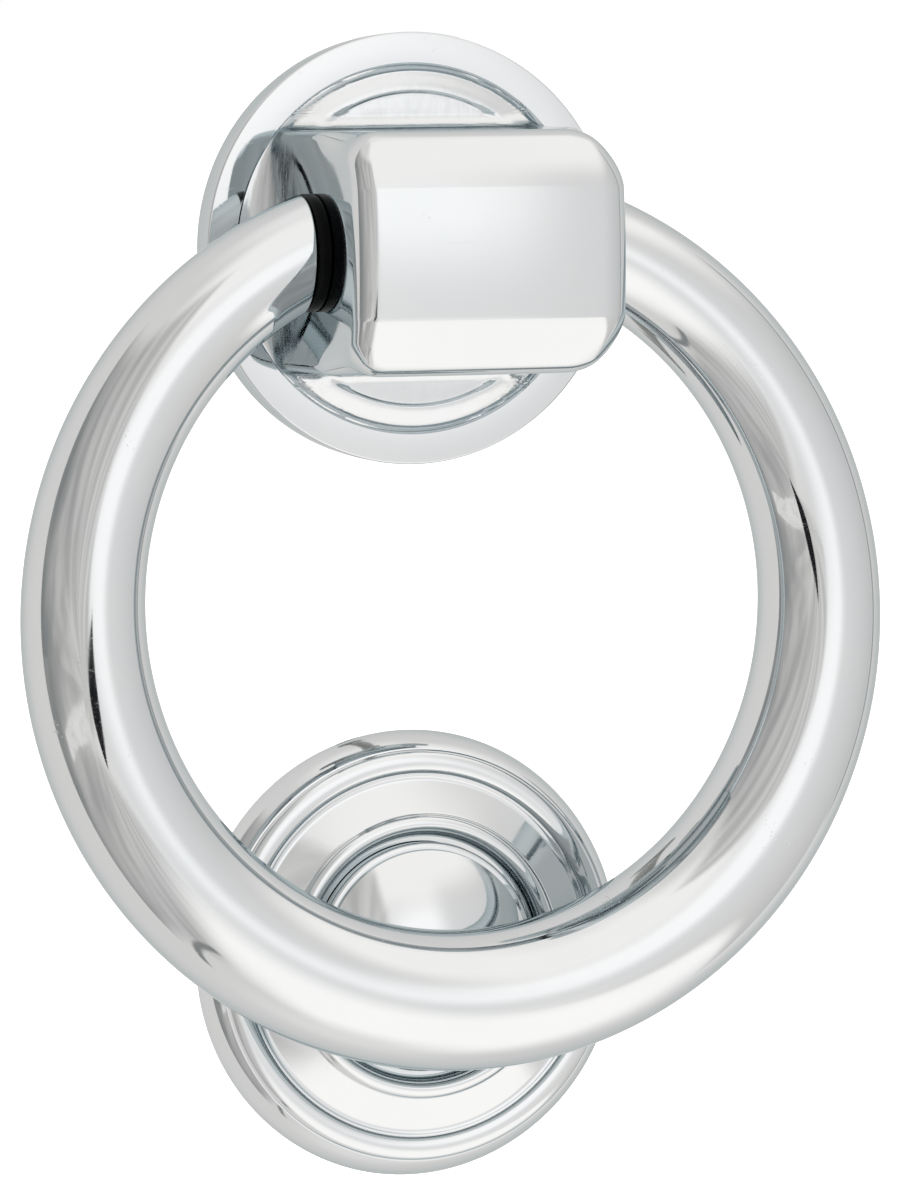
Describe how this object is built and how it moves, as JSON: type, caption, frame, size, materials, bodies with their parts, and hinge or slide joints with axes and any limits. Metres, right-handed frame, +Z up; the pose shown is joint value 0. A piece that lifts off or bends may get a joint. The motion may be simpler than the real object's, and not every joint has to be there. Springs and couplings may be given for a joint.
{
  "type": "door knocker",
  "caption": "Ring door knocker: a tapered ring hinged to a square block on a round rose, with a separate domed strike plate, both bolted through the door.",
  "frame": {"origin": "on the axis of the stud that fixes the upper rose, in the plane of the rose's back, which is the door's outer face", "axes": "+Z up the door, +X to the right as seen by a caller facing the door, +Y into the door, so the knocker stands out towards -Y"},
  "size_m": [0.1038, 0.0921, 0.133],
  "materials": {
    "chrome": "mirror-polished chrome plate, with faint horizontal linishing on the block's front",
    "zinc_steel": "zinc-plated steel",
    "dark_steel": "self-coloured hardened steel",
    "black_nylon": "glossy black nylon"
  },
  "bodies": {
    "door_fixed": {"knocker_body": "chrome", "bush_left": "black_nylon", "bush_right": "black_nylon", "locating_peg_upper": "zinc_steel", "locating_peg_lower": "zinc_steel", "strike_plate": "chrome", "strike_button": "chrome", "body_stud": "zinc_steel", "body_washer": "zinc_steel", "body_spring_washer": "dark_steel", "body_dome_nut": "chrome", "strike_stud": "zinc_steel", "strike_washer": "zinc_steel", "strike_spring_washer": "dark_steel", "strike_dome_nut": "chrome"},
    "ring": {"knocker_ring": "chrome", "pivot_pin": "zinc_steel", "ring_grub_screw_left": "dark_steel", "ring_grub_screw_right": "dark_steel"}
  },
  "joints": [
    {"name": "ring_swing", "type": "hinge", "parent": "door_fixed", "child": "ring", "pos_m": [0, -0.0164, 0], "axis": [-1, 0, 0], "range_deg": [0, 180]}
  ]
}
